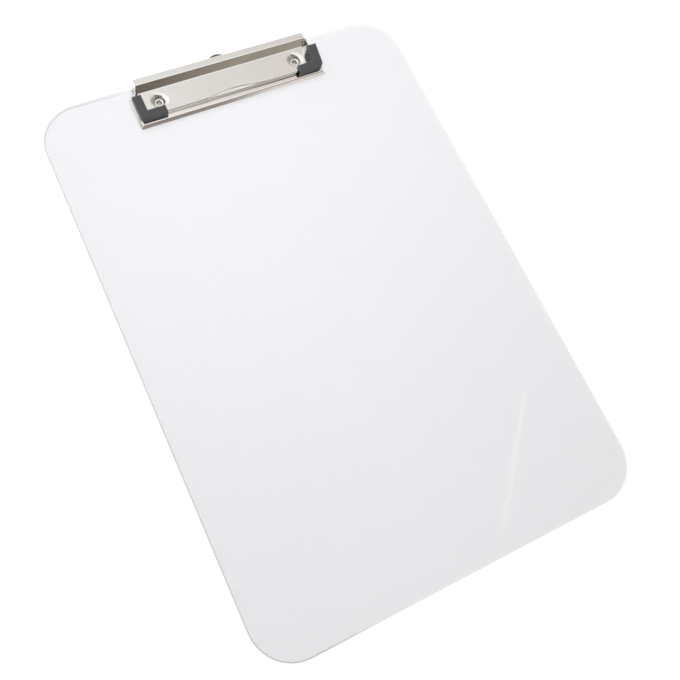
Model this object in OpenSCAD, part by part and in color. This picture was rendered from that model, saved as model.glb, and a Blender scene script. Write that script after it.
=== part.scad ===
// A4-size clipboard: a clear plastic board with a low-profile sprung clip and a hanging tab that slides out.
// The origin is the centre of the board's back face. +X is right, +Y toward the clip, +Z out of the front.
// Depths are measured down the board from its top edge. Heights are measured above the board's front face.

/* [Board] */
// Width of the board
board_w = 229; // [180:1:280]
// Length of the board, from bottom edge to top edge
board_l = 324; // [240:1:400]
// Thickness of the board
board_t = 2.5; // [2:0.1:6]
// Radius of the four corners
corner_r = 24; // [5:1:40]

/* [Clip] */
// Width of the base plate
base_w = 118; // [100:1:160]
// Depth of the base plate's front edge
base_front = 27.5; // [27:0.5:34]
// Depth of the base plate's rear edge
base_rear = 1.5; // [1:0.1:1.8]
// Height of the base plate's top face
base_h = 2; // [1.8:0.1:2.6]
// Thickness of the sheet steel
sheet_t = 0.7; // [0.5:0.05:0.8]
// Depth of the lever's front flange
lever_front = 23.5; // [22:0.5:24]
// Height of the lever's flat face when shut
face_h = 4.5; // [4.3:0.1:5]
// Height of the crest of the lever's rear lip
crest_h = 8; // [7.8:0.1:10]
// How far the front bend is set back at the middle
arch_depth = 1.9; // [0:0.1:3]
// Half the width of the set-back bend
arch_half = 21; // [12:1:36]

/* [Hinge] */
// Diameter of the hinge pin
pin_d = 2; // [1.6:0.1:2]
// Depth of the pin's axis
pin_depth = 4.4; // [4.1:0.1:4.6]
// Height of the pin's axis
pin_h = 3.8; // [3.7:0.1:3.8]
// Radial play of the lever on its pin
pin_play = 0.05; // [0.02:0.01:0.1]
// Diameter of the spring wire
wire_d = 0.6; // [0.4:0.05:0.6]
// Turns of each spring
spring_turns = 6; // [3:1:10]
// Distance of each spring from the middle
spring_x = 24; // [14:1:40]

/* [Rivets] */
// Distance between the two rivets
rivet_span = 88; // [80:1:90]
// Depth of the rivets
rivet_depth = 15.5; // [15:0.1:15.8]
// Diameter of a rivet's shank
rivet_d = 4; // [3:0.1:4.5]
// Diameter of a rivet's head
rivet_head_d = 8; // [7:0.1:8.4]
// Diameter of the access holes in the lever
access_d = 9; // [8.6:0.1:9.4]

/* [Jaw corners] */
// How far a corner's outer side is in from the base plate's side
jaw_inset = 0.5; // [0:0.1:1.5]
// Width of the arm beside the lever
jaw_side_w = 5.5; // [5:0.1:6]
// Length of the arm along the front
jaw_front_l = 16.3; // [12:0.1:20]
// Width of the arm along the front
jaw_front_w = 5.3; // [4:0.1:5.5]
// Depth of a corner's front face
jaw_front = 25.3; // [25:0.1:26]
// Depth of a corner's rear end
jaw_rear = 9.2; // [9.2:0.1:12]
// Height of a corner's top
jaw_h = 6; // [5.6:0.1:7]
// Gap under a corner when the clip is shut on nothing
jaw_gap = 0.05; // [0.05:0.05:0.2]

/* [Hanging tab] */
// Width of the tab
tab_w = 14; // [12:0.5:16]
// Thickness of the tab
tab_t = 1; // [0.6:0.1:1]
// How far the tab stands past the board when pushed in
tab_out = 5.5; // [3:0.5:6.5]
// How far the tab slides
tab_travel = 14; // [8:0.5:14]
// Diameter of the hanging hole
tab_hole_d = 6; // [4:0.5:8]
// Diameter of the stud that stops the tab
stud_d = 3; // [2:0.1:4]

/* [Hidden] */
$fn = 64;

top_y = board_l / 2;          // the board's top edge
face_z = board_t;             // the board's front face
fit = 0.05;                   // clearance of a fixed pin or rivet in its hole, all round
cut = 1;                      // how far a cutter runs past a face

// base plate
base_half = base_w / 2;
rim_start = 7.2;              // depth where the side rims begin
neck_half = base_half - 3.1;  // half the width behind the side rims
ear_x = neck_half - sheet_t / 2;
ear_front = 8.6;              // depth of an ear's front edge
ear_r = 2.4;                  // radius of an ear round the pin
ear_top = 6.6;                // height of an ear's crown
ear_top_l = 3.2;              // how far the crown runs in front of the pin
ear_front_h = 5;              // height of an ear's front edge
dimple_d = 12;                // the pressed seat of each rivet

// lever
jaw_out = base_half - jaw_inset;
ear_gap = 0.6;                // between the lever's ears and the base plate's
lever_half = neck_half - sheet_t - ear_gap - 0.1;
lever_ear_r = pin_h - base_h - 0.1;
lip_depth = -0.9;             // depth of the lip's rear edge, past the board's top edge
lip_h = 7.3;                  // height of the lip's top at its rear
lip_drop = 0.9;               // length of the lip's turned-down edge
crest_depth = 3.4;
foot_depth = 7.6;             // where the riser meets the flat face
wing_half = jaw_out - 1.5;    // the lever's wings, inside the front arms of the jaw corners
wing_rear = jaw_front - jaw_front_w - 1;
flange_gap = 0.3;             // under the front flange when shut

// springs
low_leg_l = 9;
up_leg_turn = 49;             // where round the coil the leg under the lip leaves it, past the first leg

// rivets
head_t = 1;
bore_r = 1.75;                // radius of the hollow in a rivet's middle
washer_d = 10;
washer_t = 0.5;
recess_d = washer_d + 1;
recess_t = 1;                 // depth of the seat in the board's back
tail_d = 6.4;
tail_t = 0.45;

// hanging tab
tab_lift = 0.15;              // over the board's face
tab_play = 0.25;              // each side, in the base plate's rear opening
tab_centre = tab_w / 2 - tab_out;
stud_depth = 9;
slot_w = stud_d + 0.3;
tab_tail = stud_depth + tab_travel + slot_w / 2 + 1.2;

// A point on the middle plane, from its depth down the board and its height over the front face
function at(depth, height) = [top_y - depth, face_z + height];

// How far the lever's front bend is set back at x
function arch(x) = abs(x) < arch_half ? arch_depth * (1 + cos(180 * x / arch_half)) / 2 : 0;

// A profile drawn in (Y, Z) and run along X, centred on x
module along_x(length, x = 0) {
    translate([x, 0, 0]) rotate([90, 0, 90]) linear_extrude(length, center = true) children();
}

// A bent strip of sheet along points, with rounded bends
module strip(points, t) {
    for (i = [0 : len(points) - 2]) {
        step = points[i + 1] - points[i];
        translate(points[i]) rotate(atan2(step[1], step[0])) translate([0, -t / 2]) square([norm(step), t]);
    }
    for (p = points) translate(p) circle(d = t);
}

// A block given by its x range, its depth range and its height range
module block(x0, x1, depth0, depth1, h0, h1) {
    translate([x0, top_y - depth1, face_z + h0]) cube([x1 - x0, depth1 - depth0, h1 - h0]);
}

// An upright cylinder at x and depth, between two heights
module post(d, x, depth, h0, h1) {
    translate([x, top_y - depth, face_z + h0]) cylinder(d = d, h = h1 - h0);
}

module pin_hole(r) {
    translate([0, top_y - pin_depth, face_z + pin_h]) rotate([0, 90, 0])
        cylinder(r = r, h = base_w + 2 * cut, center = true);
}

module board_outline() {
    union() {
        square([board_w - 2 * corner_r, board_l], center = true);
        square([board_w, board_l - 2 * corner_r], center = true);
        for (sx = [-1, 1], sy = [-1, 1])
            translate([sx * (board_w / 2 - corner_r), sy * (board_l / 2 - corner_r)])
                circle(r = corner_r, $fn = 96);
    }
}

module board() {
    color("whitesmoke", 0.4) difference() {
        linear_extrude(board_t) board_outline();
        for (s = [-1, 1]) {
            post(rivet_d + 2 * fit, s * rivet_span / 2, rivet_depth, -board_t - cut, cut);
            post(recess_d, s * rivet_span / 2, rivet_depth, -board_t - cut, recess_t - board_t);
        }
    }
}

// One ear of the base plate, standing on its web
module base_ear(s) {
    along_x(sheet_t, s * ear_x) union() {
        translate(at(pin_depth, pin_h)) circle(r = ear_r);
        polygon([at(pin_depth - ear_r, base_h - sheet_t / 2), at(ear_front, base_h - sheet_t / 2),
            at(ear_front, ear_front_h), at(pin_depth + ear_top_l, ear_top), at(pin_depth, ear_top),
            at(pin_depth - ear_r, pin_h)]);
    }
}

module base_plate() {
    color("silver") difference() {
        union() {
            // web
            block(-base_half, base_half, rim_start, base_front, base_h - sheet_t, base_h);
            block(-neck_half, neck_half, base_rear, rim_start + 1, base_h - sheet_t, base_h);
            // turned-down rims at the sides, the front and the rear
            for (s = [-1, 1])
                block(s * base_half - (s + 1) / 2 * sheet_t, s * base_half - (s - 1) / 2 * sheet_t,
                    rim_start, base_front, 0, base_h);
            block(-base_half, base_half, base_front - sheet_t, base_front, 0, base_h);
            block(-neck_half, neck_half, base_rear, base_rear + sheet_t, 0, base_h);
            for (s = [-1, 1]) {
                base_ear(s);
                post(dimple_d, s * rivet_span / 2, rivet_depth, 0, base_h);
            }
        }
        for (s = [-1, 1]) {
            post(dimple_d - 2 * sheet_t, s * rivet_span / 2, rivet_depth, sheet_t, base_h + cut);
            post(rivet_d + 2 * fit, s * rivet_span / 2, rivet_depth, -cut, base_h);
        }
        pin_hole(pin_d / 2 + fit / 2);
        // the way out for the hanging tab, and the hole of its stud
        block(-tab_w / 2 - tab_play, tab_w / 2 + tab_play, base_rear - cut, base_rear + sheet_t + cut,
            -cut, base_h - sheet_t);
        post(stud_d + 2 * fit, 0, stud_depth, -cut, base_h + cut);
    }
}

// Outline of the lever's flat face and wings, set back along its front by inset
module lever_face(inset) {
    steps = 28;
    front_y = top_y - lever_front + inset;
    wing_y = top_y - wing_rear;
    foot_y = top_y - foot_depth;
    front = [for (i = [0 : steps]) let (x = arch_half * (2 * i / steps - 1)) [x, front_y + arch(x)]];
    polygon(concat([[-wing_half, front_y]], front, [[wing_half, front_y], [wing_half, wing_y],
        [lever_half, wing_y], [lever_half, foot_y], [-lever_half, foot_y], [-lever_half, wing_y],
        [-wing_half, wing_y]]));
}

// The lever's sheet alone, which the jaw corners also fit round
module lever_sheet() {
    mid = sheet_t / 2;
    union() {
        translate([0, 0, face_z + face_h - sheet_t]) linear_extrude(sheet_t) lever_face(0);
        // front flange, following the set-back bend
        difference() {
            translate([0, 0, face_z + base_h + flange_gap])
                linear_extrude(face_h - base_h - flange_gap) lever_face(0);
            translate([0, 0, face_z]) linear_extrude(face_h + cut) lever_face(sheet_t);
            block(-wing_half - cut, wing_half + cut, 0, lever_front - arch_depth - 2 * sheet_t,
                0, face_h + cut);
        }
        // lip, crest and riser
        along_x(2 * lever_half) strip([
            at(lip_depth + mid, lip_h - lip_drop), at(lip_depth + mid, lip_h - mid),
            at(crest_depth, crest_h - mid),
            at(foot_depth - mid, face_h - mid), at(foot_depth + 1, face_h - mid)], sheet_t);
    }
}

// One ear of the lever, round the pin and up to the riser
module lever_ear(s) {
    along_x(sheet_t, s * (lever_half - sheet_t / 2)) union() {
        translate(at(pin_depth, pin_h)) circle(r = lever_ear_r);
        polygon([at(pin_depth - lever_ear_r, pin_h), at(crest_depth - 0.6, crest_h - sheet_t),
            at(crest_depth, crest_h - sheet_t / 2), at(foot_depth, face_h - sheet_t / 2),
            at(pin_depth + lever_ear_r, pin_h - 0.5)]);
    }
}

module lever_plate() {
    color("gainsboro") difference() {
        union() {
            lever_sheet();
            for (s = [-1, 1]) lever_ear(s);
        }
        pin_hole(pin_d / 2 + pin_play);
        for (s = [-1, 1]) post(access_d, s * rivet_span / 2, rivet_depth, base_h, face_h + cut);
    }
}

module hinge_pin() {
    head_l = 0.7;
    out = neck_half + 0.1;
    color("silver") translate([0, top_y - pin_depth, face_z + pin_h]) rotate([0, 90, 0]) union() {
        cylinder(d = pin_d, h = 2 * out, center = true);
        for (s = [-1, 1]) translate([0, 0, s * (out + head_l / 2)])
            cylinder(d = pin_d + 1.4, h = head_l, center = true);
    }
}

// A spring of one wire: a leg on the base plate, the turns round the pin, and a leg up under the lip
module torsion_spring(s) {
    coil_r = pin_d / 2 + 0.05 + wire_d / 2;
    around = 14;
    turns = spring_turns + up_leg_turn / 360;
    count = round(turns * around);
    pitch = wire_d * 1.04;
    low_leg = [s * spring_x, top_y - pin_depth - low_leg_l, face_z + base_h + wire_d / 2 + 0.03];
    coil = [for (i = [0 : count]) let (a = -90 + 360 * i / around)
        [s * (spring_x + pitch * i / around), top_y - pin_depth + coil_r * cos(a),
            face_z + pin_h + coil_r * sin(a)]];
    up_leg = [s * (spring_x + pitch * turns), top_y - lip_depth - 1.5,
        face_z + lip_h - sheet_t - wire_d / 2 - 0.15];
    path = concat([low_leg], coil, [up_leg]);
    color("gray") wire(path, wire_d);
}

// A round wire along a path, as one closed skin
module wire(path, d) {
    sides = 8;
    last = len(path) - 1;
    function unit(v) = v / norm(v);
    rings = [for (i = [0 : last])
        let (way = unit(path[min(i + 1, last)] - path[max(i - 1, 0)]),
            across = unit([1, 0, 0] - (way * [1, 0, 0]) * way),
            up = cross(way, across))
        [for (k = [0 : sides - 1]) let (a = 360 * k / sides)
            path[i] + d / 2 * (cos(a) * across + sin(a) * up)]];
    points = [for (ring = rings, p = ring) p];
    skin = [for (i = [0 : last - 1], k = [0 : sides - 1]) let (n = (k + 1) % sides)
        [i * sides + k, i * sides + n, (i + 1) * sides + n, (i + 1) * sides + k]];
    start = [[for (k = [0 : sides - 1]) sides - 1 - k]];
    end = [[for (k = [0 : sides - 1]) last * sides + k]];
    polyhedron(points, [for (f = concat(skin, start, end)) [for (k = [len(f) - 1 : -1 : 0]) f[k]]]);
}

// A rubber corner that grips the lever's sheet: an L in plan with a rounded outer corner
module jaw_corner(s) {
    round_r = 3;
    in_side = jaw_out - jaw_side_w;
    in_front = jaw_out - jaw_front_l;
    color([0.22, 0.24, 0.26]) difference() {
        translate([0, 0, face_z + base_h + jaw_gap]) linear_extrude(jaw_h - base_h - jaw_gap)
            mirror([s < 0 ? 1 : 0, 0]) union() {
                translate([in_side, top_y - jaw_front + round_r])
                    square([jaw_side_w, jaw_front - jaw_rear - round_r]);
                translate([in_front, top_y - jaw_front]) square([jaw_front_l - round_r, jaw_front_w]);
                translate([jaw_out - round_r, top_y - jaw_front + round_r]) circle(r = round_r);
            }
        lever_sheet();
    }
}

// A hollow rivet, with a rolled head in front and a clinched tail behind
module rivet(s) {
    shank_l = board_t - recess_t + sheet_t + washer_t;
    tail_z = recess_t - washer_t - tail_t;
    roll = head_t / 2;
    color("silver") translate([s * rivet_span / 2, top_y - rivet_depth, 0]) rotate_extrude() union() {
        translate([bore_r, tail_z]) square([rivet_d / 2 - bore_r, shank_l + tail_t]);
        translate([bore_r, tail_z]) square([tail_d / 2 - bore_r, tail_t]);
        translate([bore_r, face_z + sheet_t]) square([rivet_head_d / 2 - roll - bore_r, head_t]);
        translate([rivet_head_d / 2 - roll, face_z + sheet_t + roll]) circle(r = roll);
    }
}

module rivet_washer(s) {
    color("silver") translate([s * rivet_span / 2, top_y - rivet_depth, recess_t - washer_t]) difference() {
        cylinder(d = washer_d, h = washer_t);
        translate([0, 0, -cut]) cylinder(d = rivet_d + 2 * fit, h = washer_t + 2 * cut);
    }
}

module hanging_tab() {
    color("dimgray") difference() {
        union() {
            post(tab_w, 0, tab_centre, tab_lift, tab_lift + tab_t);
            block(-tab_w / 2, tab_w / 2, tab_centre, tab_tail, tab_lift, tab_lift + tab_t);
        }
        post(tab_hole_d, 0, tab_centre, -cut, base_h + cut);
        block(-slot_w / 2, slot_w / 2, stud_depth, stud_depth + tab_travel, -cut, base_h + cut);
        for (depth = [stud_depth, stud_depth + tab_travel]) post(slot_w, 0, depth, -cut, base_h + cut);
    }
}

module tab_stop_stud() {
    color("silver") union() {
        post(stud_d, 0, stud_depth, 0.05, base_h + 0.6);
        post(stud_d + 2, 0, stud_depth, base_h, base_h + 0.6);
    }
}

board();
base_plate();
lever_plate();
hinge_pin();
torsion_spring(-1);  // torsion_spring_left
torsion_spring(1);  // torsion_spring_right
jaw_corner(-1);  // jaw_corner_left
jaw_corner(1);  // jaw_corner_right
rivet(-1);  // rivet_left
rivet(1);  // rivet_right
rivet_washer(-1);  // rivet_washer_left
rivet_washer(1);  // rivet_washer_right
hanging_tab();
tab_stop_stud();
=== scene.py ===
# %% [markdown]
# # A clear clipboard with a nickel-plated clip
# The imported model comes in first, as a fixed frame: it already has the right sizes, places and joints.
# Everything made below either gives one of its nodes a finish or stands in for a node with a finer mesh.
# The finished one must not outgrow it.

# %% Load the frame
from math import cos, radians, sin, pi, tau

import bmesh
import bpy
from mathutils import Matrix, Vector


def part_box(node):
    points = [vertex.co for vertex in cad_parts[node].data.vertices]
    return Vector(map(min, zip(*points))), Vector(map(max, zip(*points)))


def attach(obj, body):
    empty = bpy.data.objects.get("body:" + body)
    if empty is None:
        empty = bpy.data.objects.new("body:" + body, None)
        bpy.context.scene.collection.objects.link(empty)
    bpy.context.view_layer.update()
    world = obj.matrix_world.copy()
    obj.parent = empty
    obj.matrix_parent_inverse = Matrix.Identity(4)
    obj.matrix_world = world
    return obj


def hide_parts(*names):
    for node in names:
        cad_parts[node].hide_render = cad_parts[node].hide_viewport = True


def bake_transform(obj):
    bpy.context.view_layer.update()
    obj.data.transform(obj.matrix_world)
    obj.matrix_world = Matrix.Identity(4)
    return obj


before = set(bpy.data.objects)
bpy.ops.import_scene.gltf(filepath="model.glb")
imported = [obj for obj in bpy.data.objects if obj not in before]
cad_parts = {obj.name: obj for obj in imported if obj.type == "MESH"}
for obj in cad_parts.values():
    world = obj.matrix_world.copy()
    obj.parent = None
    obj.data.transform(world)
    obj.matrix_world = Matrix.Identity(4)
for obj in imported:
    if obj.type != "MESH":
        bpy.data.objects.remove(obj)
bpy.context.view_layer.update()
MM = 0.001

# %% [markdown]
# The board gives the two planes that all the other places count from: its front face and its top edge.
# A point on the clip is then named as a maker would name it, by how far it is from the middle, how far down
# the board, and how far above the face.

# %% Reference planes
board_low, board_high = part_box("board")
FACE_Z = board_high.z
TOP_Y = board_high.y


def at(x, depth, height):
    """A point in metres from millimetres across, down from the top edge, and up from the board's face."""
    return Vector((x * MM, TOP_Y - depth * MM, FACE_Z + height * MM))


print("board:", [round(v / MM, 1) for v in board_high - board_low], "mm")

# %% [markdown]
# The camera stands up and to the left of the board, close enough for strong perspective, and is turned about
# its own axis so that the board seems to lean. A point to look at and a roll angle say this more plainly than
# three Euler angles do. The small shift stands for a frame that was trimmed off centre.

# %% Camera
CAMERA_AT = Vector((-0.15663, -0.10852, 0.44141))
LOOK_AT = Vector((-0.01821, 0.00604, 0.0025))
ROLL = radians(-25.686)
LENS_MM = 45.493
SHIFT = 0.0588
NEAREST = 0.01


def aim(position, target, roll):
    """A camera matrix that looks from position to target, then rolls about its own view line."""
    back = (position - target).normalized()
    right = Vector((0, 1, 0)).cross(back).normalized()
    turned = Matrix((right, back.cross(right), back)).transposed().to_4x4()
    return Matrix.Translation(position) @ turned @ Matrix.Rotation(roll, 4, "Z")


camera = bpy.data.objects.new("camera", bpy.data.cameras.new("camera"))
bpy.context.collection.objects.link(camera)
camera.data.lens = LENS_MM
camera.data.shift_x = SHIFT
camera.data.shift_y = -SHIFT
camera.data.clip_start = NEAREST
camera.matrix_world = aim(CAMERA_AT, LOOK_AT, ROLL)
bpy.context.scene.camera = camera
bpy.context.scene.view_settings.view_transform = "Standard"
print("camera", [round(v, 3) for v in camera.location], "lens", LENS_MM)

# %% [markdown]
# Every finish below is a small web of shader nodes, and so is the sky. Written out, each would take dozens
# of lines, so a few helpers come first. One makes a node and one links sockets. The other three are the sums
# that everything here uses: plain arithmetic, a soft step, and a mix of two colours.

# %% Helpers for shader nodes
def node(tree, kind, **settings):
    """One node, with its properties or its sockets' values set by name."""
    made = tree.nodes.new(kind)
    for key, value in settings.items():
        if hasattr(made, key):
            setattr(made, key, value)
        else:
            made.inputs[key.replace("_", " ")].default_value = value
    return made


def join(tree, *pairs):
    """Links (from socket, to socket) pairs."""
    for start, end in pairs:
        tree.links.new(start, end)


def math(tree, operation, a, b=None, clamp=False):
    """A Math node fed by sockets or plain numbers; returns its output."""
    made = tree.nodes.new("ShaderNodeMath")
    made.operation = operation
    made.use_clamp = clamp
    for socket, value in zip(made.inputs, (a, b)):
        if isinstance(value, bpy.types.NodeSocket):
            tree.links.new(value, socket)
        elif value is not None:
            socket.default_value = value
    return made.outputs[0]


def smooth(tree, value, low, high, to_low=0.0, to_high=1.0):
    """A soft step from to_low to to_high as value goes from low to high."""
    made = tree.nodes.new("ShaderNodeMapRange")
    made.interpolation_type = "SMOOTHSTEP"
    made.inputs["From Min"].default_value = low
    made.inputs["From Max"].default_value = high
    made.inputs["To Min"].default_value = to_low
    made.inputs["To Max"].default_value = to_high
    tree.links.new(value, made.inputs["Value"])
    return made.outputs["Result"]


def mix(tree, factor, a, b):
    """A colour between a and b; each may be a socket or a plain colour."""
    made = tree.nodes.new("ShaderNodeMix")
    made.data_type = "RGBA"
    for socket, value in ((made.inputs[0], factor), (made.inputs[6], a), (made.inputs[7], b)):
        if isinstance(value, bpy.types.NodeSocket):
            tree.links.new(value, socket)
        elif socket.type == "RGBA":
            socket.default_value = (*value[:3], 1)
        else:
            socket.default_value = value
    return made.outputs[2]


# %% [markdown]
# Bright plate has hardly any colour of its own: it shows what is around it. So the sky is drawn as a room.
# It is a white tent overhead that dims toward the horizon, with a bright window low on the left and a dim
# wall on the far right. A brown hanging low down in front of the clip is what the clip's sloping riser
# mirrors. Its folds give the riser streaks, and a dark strip along its top gives every bend a fine dark
# line. The colours say how bright each part is, and the soft steps where in the sky it begins and ends.

# %% The room
TENT = (1.0, 1.0, 0.99)
LEFT_WALL = (0.93, 0.925, 0.90)
RIGHT_WALL = (0.77, 0.72, 0.70)
FAR_RIGHT = (0.40, 0.37, 0.34)
GREY_SIDE = (0.60, 0.59, 0.57)
WINDOW = (1.25, 1.25, 1.24)
BROWN_LEFT = (0.29, 0.245, 0.205)
BROWN_RIGHT = (0.56, 0.50, 0.42)
LOW_LEFT = (0.36, 0.31, 0.29)
LOW_RIGHT = (0.78, 0.76, 0.73)
DARK_STRIP = (0.05, 0.038, 0.03)
STRIP_SHARE = 0.92
FOLD_STRETCH = (2.0, 5.0, 30.0)
FOLD_SHADE = 0.45

world = bpy.data.worlds.new("room")
bpy.context.scene.world = world
world.use_nodes = True
room = world.node_tree
room.nodes.clear()
way = node(room, "ShaderNodeTexCoord").outputs["Generated"]
split = node(room, "ShaderNodeSeparateXYZ")
join(room, (way, split.inputs[0]))
across, along, up = split.outputs
walls = mix(room, smooth(room, across, 0.12, 0.42), LEFT_WALL, RIGHT_WALL)
walls = mix(room, smooth(room, across, 0.68, 0.86), walls, FAR_RIGHT)
walls = mix(room, smooth(room, across, -0.35, -0.6), walls, GREY_SIDE)
window = math(room, "MULTIPLY", smooth(room, across, -0.05, -0.25), smooth(room, up, 0.3, 0.5))
walls = mix(room, window, walls, WINDOW)
walls = mix(room, smooth(room, up, 0.84, 0.95), walls, TENT)
stretch = node(room, "ShaderNodeVectorMath", operation="MULTIPLY")
stretch.inputs[1].default_value = FOLD_STRETCH
folds = node(room, "ShaderNodeTexNoise", Scale=1.0, Detail=2.0)
join(room, (way, stretch.inputs[0]), (stretch.outputs[0], folds.inputs["Vector"]))
brown = mix(room, smooth(room, across, 0.18, 0.42), BROWN_LEFT, BROWN_RIGHT)
shaded = [c * FOLD_SHADE for c in BROWN_LEFT]
brown = mix(room, smooth(room, folds.outputs[0], 0.36, 0.64), shaded, brown)
low = mix(room, smooth(room, across, 0.24, 0.38), LOW_LEFT, LOW_RIGHT)
brown = mix(room, smooth(room, up, 0.45, 0.25), brown, low)
in_front = smooth(room, along, -0.2, -0.45)
hanging = math(room, "MULTIPLY", in_front, smooth(room, up, 0.84, 0.74))
walls = mix(room, hanging, walls, brown)
strip = math(room, "MULTIPLY", smooth(room, up, 0.685, 0.72), smooth(room, up, 0.83, 0.77))
strip = math(room, "MULTIPLY", in_front, math(room, "MULTIPLY", strip, STRIP_SHARE))
walls = mix(room, strip, walls, DARK_STRIP)
light = node(room, "ShaderNodeBackground", Strength=1.0)
out = node(room, "ShaderNodeOutputWorld")
join(room, (walls, light.inputs["Color"]), (light.outputs[0], out.inputs["Surface"]))
print("room drawn with", len(room.nodes), "nodes")

# %% [markdown]
# One soft spot hangs over the clip end and fades out down the board, so the clear sheet shades off along its
# length. It is left out of mirror reflections, or bright plate would show it as a burnt patch. The floor is a
# pale sheet that glows, as paper on a light table, so next to no shadow is left on it.

# %% Lamp and floor
LAMP_AT = Vector((-0.02, 0.19, 0.62))
LAMP_TO = Vector((0, 0.18, 0))
LAMP_RADIUS = 0.16
LAMP_CONE = radians(66)
LAMP_POWER = 11.0

lamp = bpy.data.objects.new("lamp", bpy.data.lights.new("lamp", "SPOT"))
bpy.context.collection.objects.link(lamp)
lamp.data.shadow_soft_size = LAMP_RADIUS
lamp.data.energy = LAMP_POWER
lamp.data.spot_size = LAMP_CONE
lamp.data.spot_blend = 1.0
lamp.visible_glossy = False
lamp.matrix_world = aim(LAMP_AT, LAMP_TO, 0)

FLOOR_SIZE = 6.0
FLOOR_GAP = 0.0003
PAPER_GREY = (0.2, 0.2, 0.2, 1)
PAPER_GLOW = (1, 1, 1, 1)
PAPER_ROUGH = 0.9

bm = bmesh.new()
bmesh.ops.create_grid(bm, x_segments=4, y_segments=4, size=FLOOR_SIZE / 2)
floor_mesh = bpy.data.meshes.new("floor")
bm.to_mesh(floor_mesh)
bm.free()
floor = bpy.data.objects.new("floor", floor_mesh)
floor.location.z = board_low.z - FLOOR_GAP
bpy.context.collection.objects.link(floor)

paper = bpy.data.materials.new("pale_floor")
paper.use_nodes = True
shader = paper.node_tree.nodes["Principled BSDF"]
shader.inputs["Base Color"].default_value = PAPER_GREY
shader.inputs["Roughness"].default_value = PAPER_ROUGH
shader.inputs["Emission Color"].default_value = PAPER_GLOW
shader.inputs["Emission Strength"].default_value = 1.0
floor_mesh.materials.append(paper)
print("floor at", round(floor.location.z / MM, 2), "mm")

# %% [markdown]
# ## Effects that several finishes share
# Each is a node group with named inputs and outputs, built once and placed in a material with its own
# values. A group only puts out masks, values and heights, and the shader itself stays in each material. Two
# helpers make an empty group and place a finished one.

# %% Helper for node groups
def new_group(name, inputs, outputs):
    """An empty shader group; inputs is {name: default value}, outputs is a list of names."""
    tree = bpy.data.node_groups.new(name, "ShaderNodeTree")
    for key, value in inputs.items():
        socket = tree.interface.new_socket(name=key, in_out="INPUT", socket_type="NodeSocketFloat")
        socket.default_value = value
    for key in outputs:
        tree.interface.new_socket(name=key, in_out="OUTPUT", socket_type="NodeSocketFloat")
    start = tree.nodes.new("NodeGroupInput")
    end = tree.nodes.new("NodeGroupOutput")
    place = tree.nodes.new("ShaderNodeTexCoord").outputs["Object"]
    return tree, start.outputs, end.inputs, place


def use(tree, group, **values):
    """Places a group in a material with its own values; returns its outputs."""
    made = tree.nodes.new("ShaderNodeGroup")
    made.node_tree = group
    for key, value in values.items():
        made.inputs[key.replace("_", " ")].default_value = value
    return made.outputs


# %% [markdown]
# Fine scratches are noise squeezed hard along one direction, with only its narrow ridges kept, so that it
# reads as hairlines and not as clouds. A second, broad noise hides them in places, as on any handled metal.

# %% Group: fine scratches
scratches, given, result, place = new_group(
    "fine_scratches", {"Scale": 900, "Stretch": 0.04, "Turn": 0.2, "Amount": 0.5}, ["Mask", "Height"])
turn = node(scratches, "ShaderNodeVectorRotate", rotation_type="Z_AXIS")
squeeze = node(scratches, "ShaderNodeCombineXYZ", Y=1.0, Z=1.0)
stretched = node(scratches, "ShaderNodeVectorMath", operation="MULTIPLY")
grain = node(scratches, "ShaderNodeTexNoise", Detail=3.0, Roughness=0.6)
join(scratches, (place, turn.inputs["Vector"]), (given["Turn"], turn.inputs["Angle"]),
     (given["Stretch"], squeeze.inputs["X"]), (turn.outputs[0], stretched.inputs[0]),
     (squeeze.outputs[0], stretched.inputs[1]), (stretched.outputs[0], grain.inputs["Vector"]),
     (given["Scale"], grain.inputs["Scale"]))
ridge = math(scratches, "ABSOLUTE", math(scratches, "SUBTRACT", grain.outputs[0], 0.5))
line = smooth(scratches, ridge, 0.018, 0.0)
patches = node(scratches, "ShaderNodeTexNoise", Scale=70.0, Detail=1.0)
join(scratches, (place, patches.inputs["Vector"]))
shown = smooth(scratches, patches.outputs[0], 0.45, 0.62)
mask = math(scratches, "MULTIPLY", math(scratches, "MULTIPLY", line, shown), given["Amount"], clamp=True)
join(scratches, (mask, result["Mask"]), (math(scratches, "MULTIPLY", mask, -1.0), result["Height"]))
print(scratches.name, len(scratches.nodes), "nodes")

# %% [markdown]
# Handling marks are broad, soft differences in how sharply a surface mirrors, left by fingers. Two sizes of
# noise are added: one as wide as a fingertip, one finer. The group turns them into a roughness between two
# values, so that every material can say how clean and how greasy it gets.

# %% Group: handling marks
marks, given, result, place = new_group(
    "handling_marks", {"Scale": 60, "Clean": 0.1, "Greasy": 0.2}, ["Roughness", "Mask"])
wide = node(marks, "ShaderNodeTexNoise", Detail=4.0, Roughness=0.55, Distortion=0.6)
fine = node(marks, "ShaderNodeTexNoise", Scale=900.0, Detail=2.0)
join(marks, (place, wide.inputs["Vector"]), (given["Scale"], wide.inputs["Scale"]),
     (place, fine.inputs["Vector"]))
both = math(marks, "ADD", math(marks, "MULTIPLY", wide.outputs[0], 0.8),
            math(marks, "MULTIPLY", fine.outputs[0], 0.2))
mask = smooth(marks, both, 0.38, 0.66)
span = math(marks, "SUBTRACT", given["Greasy"], given["Clean"])
rough = math(marks, "ADD", given["Clean"], math(marks, "MULTIPLY", mask, span))
join(marks, (rough, result["Roughness"]), (mask, result["Mask"]))
print(marks.name, len(marks.nodes), "nodes")

# %% [markdown]
# Edge wear: a bevel lookup gives the normal that a rounder edge would have. Where it differs from the true
# normal there is an edge, and noise breaks the mask up so that the rub isn't even.

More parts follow.
